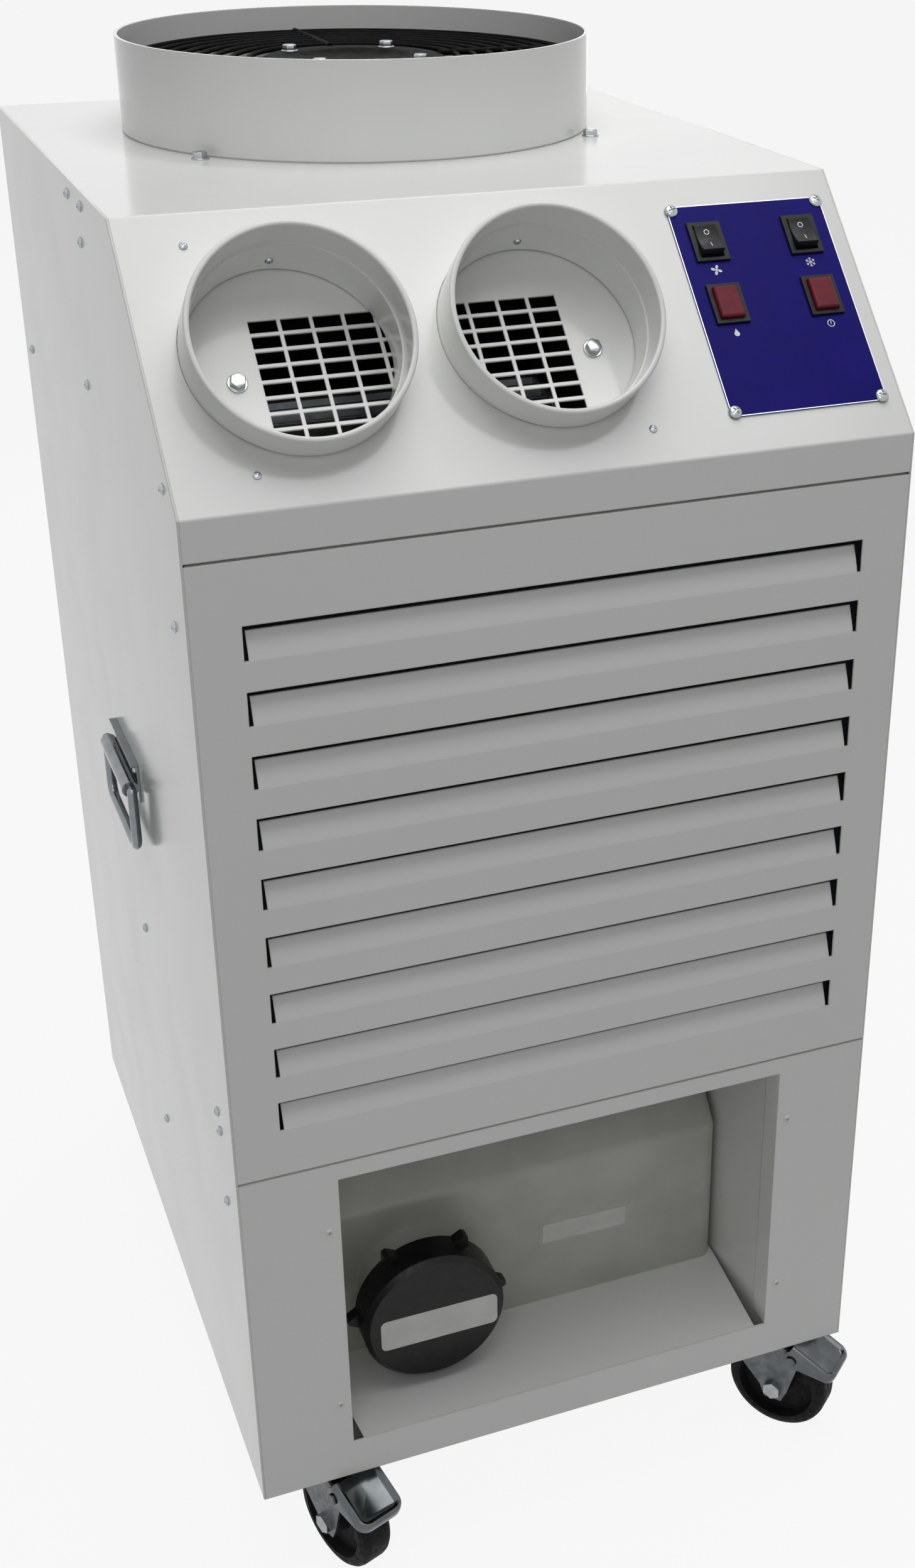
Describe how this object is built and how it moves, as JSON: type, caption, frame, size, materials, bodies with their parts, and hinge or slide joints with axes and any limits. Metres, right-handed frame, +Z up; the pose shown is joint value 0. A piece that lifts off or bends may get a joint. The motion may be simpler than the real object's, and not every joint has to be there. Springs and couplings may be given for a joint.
{
  "type": "industrial portable air conditioner",
  "caption": "Portable spot cooler: a louvred steel cabinet on casters with cold air collars on a sloping head, a roof exhaust collar and a slide-out condensate tank.",
  "frame": {"origin": "on the floor, under the middle of the cabinet", "axes": "+Z up, +X to the right of someone facing the front, +Y to the back"},
  "size_m": [0.5557, 0.7268, 1.154],
  "materials": {
    "white_enamel": "gloss powder coat",
    "galvanised_sheet": "bright zinc",
    "zinc_plate": "zinc plated",
    "black_wire": "satin",
    "control_enamel": "satin print",
    "black_plastic": "moulded",
    "red_lens": "clear moulded",
    "tank_plastic": "blow moulded",
    "grey_tube": "extruded",
    "filter_pad": "open mesh",
    "fin_stock": "mill finish",
    "copper": "drawn tube",
    "foot_rubber": "moulded",
    "wheel_rubber": "moulded",
    "bright_plate": "bright zinc"
  },
  "bodies": {
    "cabinet": {"base_pan": "white_enamel", "base_front_panel": "white_enamel", "left_side_panel": "white_enamel", "right_side_panel": "white_enamel", "front_intake_panel": "white_enamel", "rear_intake_panel": "white_enamel", "lower_rear_panel": "white_enamel", "top_housing": "white_enamel", "outlet_grille_plate": "white_enamel", "outlet_spigot_left": "white_enamel", "outlet_spigot_right": "white_enamel", "exhaust_spigot": "white_enamel", "tank_shelf": "white_enamel", "tank_bay_liner": "white_enamel", "electrical_box": "galvanised_sheet", "mid_shelf": "galvanised_sheet", "bulkhead": "galvanised_sheet", "drip_tray": "galvanised_sheet", "blower_motor": "galvanised_sheet", "caster_plates": "zinc_plate", "rear_caster_forks": "zinc_plate", "rear_axles": "zinc_plate", "handle_plates": "zinc_plate", "panel_screws": "zinc_plate", "hex_bolts": "zinc_plate", "fan_guard": "black_wire", "exhaust_fan_motor": "black_wire", "compressor": "black_wire", "fan_plate": "black_wire", "blower_housing": "black_wire", "control_plate": "control_enamel", "switch_bodies": "black_plastic", "indicator_bezels": "black_plastic", "cable_gland": "black_plastic", "indicator_lenses": "red_lens", "drain_spout": "grey_tube", "air_filter": "filter_pad", "evaporator_coil": "fin_stock", "condenser_coil": "fin_stock", "filter_drier": "copper", "refrigerant_pipes": "copper", "compressor_feet": "foot_rubber"},
    "exhaust_fan": {"exhaust_fan_impeller": "black_wire"},
    "blower": {"blower_wheel": "galvanised_sheet"},
    "fan_switch": {"fan_rocker": "black_plastic"},
    "cooling_switch": {"cooling_rocker": "black_plastic"},
    "tank": {"condensate_tank": "tank_plastic"},
    "cap": {"tank_cap": "black_plastic"},
    "left_bail": {"left_handle_bail": "zinc_plate"},
    "right_bail": {"right_handle_bail": "zinc_plate"},
    "left_caster": {"front_fork_left": "zinc_plate", "front_axle_left": "zinc_plate"},
    "left_front_wheel": {"front_wheel_left": "wheel_rubber"},
    "left_pedal": {"brake_pedal_left": "bright_plate"},
    "right_caster": {"front_fork_right": "zinc_plate", "front_axle_right": "zinc_plate"},
    "right_front_wheel": {"front_wheel_right": "wheel_rubber"},
    "right_pedal": {"brake_pedal_right": "bright_plate"},
    "left_rear_wheel": {"rear_wheel_left": "wheel_rubber"},
    "right_rear_wheel": {"rear_wheel_right": "wheel_rubber"}
  },
  "joints": [
    {"name": "exhaust_fan_spin", "type": "hinge", "parent": "cabinet", "child": "exhaust_fan", "pos_m": [0, 0.139, 1.03], "axis": [0, 0, 1], "continuous": true},
    {"name": "blower_spin", "type": "hinge", "parent": "cabinet", "child": "blower", "pos_m": [-0.075, -0.19706, 0.89406], "axis": [1, 0, 0], "continuous": true},
    {"name": "fan_switch_rock", "type": "hinge", "parent": "cabinet", "child": "fan_switch", "pos_m": [0.1493, -0.21333, 1.04326], "axis": [1, 0, 0], "range_deg": [0, 20]},
    {"name": "cooling_switch_rock", "type": "hinge", "parent": "cabinet", "child": "cooling_switch", "pos_m": [0.2233, -0.21333, 1.04326], "axis": [1, 0, 0], "range_deg": [0, 20]},
    {"name": "tank_slide", "type": "slide", "parent": "cabinet", "child": "tank", "axis": [0, -1, 0], "range_m": [0, 0.3]},
    {"name": "cap_turn", "type": "hinge", "parent": "tank", "child": "cap", "pos_m": [-0.1, -0.25, 0.2113], "axis": [0, -1, 0], "range_deg": [0, 360]},
    {"name": "left_bail_swing", "type": "hinge", "parent": "cabinet", "child": "left_bail", "pos_m": [-0.26815, -0.026, 0.624], "axis": [0, 1, 0], "range_deg": [0, 90]},
    {"name": "right_bail_swing", "type": "hinge", "parent": "cabinet", "child": "right_bail", "pos_m": [0.26815, -0.026, 0.624], "axis": [0, -1, 0], "range_deg": [0, 90]},
    {"name": "left_caster_swivel", "type": "hinge", "parent": "cabinet", "child": "left_caster", "pos_m": [-0.2, -0.274, 0.097], "axis": [0, 0, 1], "continuous": true},
    {"name": "left_front_wheel_spin", "type": "hinge", "parent": "left_caster", "child": "left_front_wheel", "pos_m": [-0.18837, -0.30595, 0.046], "axis": [0.9397, 0.342, 0], "continuous": true},
    {"name": "left_pedal_press", "type": "hinge", "parent": "left_caster", "child": "left_pedal", "pos_m": [-0.1829, -0.32099, 0.086], "axis": [0.9397, 0.342, 0], "range_deg": [0, 8]},
    {"name": "left_rear_wheel_spin", "type": "hinge", "parent": "cabinet", "child": "left_rear_wheel", "pos_m": [-0.2, 0.262, 0.046], "axis": [1, 0, 0], "continuous": true},
    {"name": "right_caster_swivel", "type": "hinge", "parent": "cabinet", "child": "right_caster", "pos_m": [0.2, -0.274, 0.097], "axis": [0, 0, 1], "continuous": true},
    {"name": "right_front_wheel_spin", "type": "hinge", "parent": "right_caster", "child": "right_front_wheel", "pos_m": [0.22185, -0.30005, 0.046], "axis": [0.766, 0.6428, 0], "continuous": true},
    {"name": "right_pedal_press", "type": "hinge", "parent": "right_caster", "child": "right_pedal", "pos_m": [0.23214, -0.3123, 0.086], "axis": [0.766, 0.6428, 0], "range_deg": [0, 8]},
    {"name": "right_rear_wheel_spin", "type": "hinge", "parent": "cabinet", "child": "right_rear_wheel", "pos_m": [0.2, 0.262, 0.046], "axis": [1, 0, 0], "continuous": true}
  ]
}
